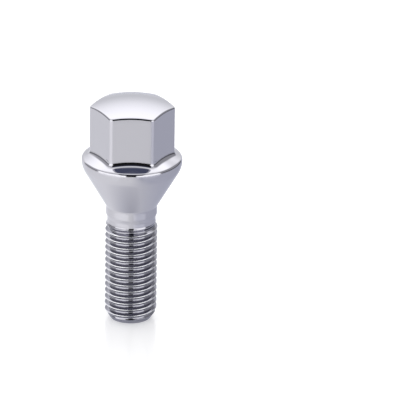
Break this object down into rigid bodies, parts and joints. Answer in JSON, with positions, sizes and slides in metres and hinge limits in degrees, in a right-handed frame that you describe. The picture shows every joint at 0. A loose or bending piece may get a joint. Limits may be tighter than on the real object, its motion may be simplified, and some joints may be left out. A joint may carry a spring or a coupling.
{
  "type": "wheel bolt",
  "caption": "Chrome wheel bolt with a domed closed hexagon head, a sloped round collar, a 60 degree cone seat and a fine-threaded shank with a chamfered tip.",
  "frame": {"origin": "centre of the flat face at the threaded end, on the bolt's axis", "axes": "+Z along the bolt's axis from the threaded end to the domed head; two flats of the hexagon face -Y and +Y and two of its corners point along -X and +X"},
  "size_m": [0.0228, 0.0228, 0.0527],
  "materials": {
    "chrome": "bright chrome plate, polished on the head and collar, rolled on the thread"
  },
  "bodies": {
    "root": {"wheel_bolt": "chrome"}
  },
  "joints": []
}
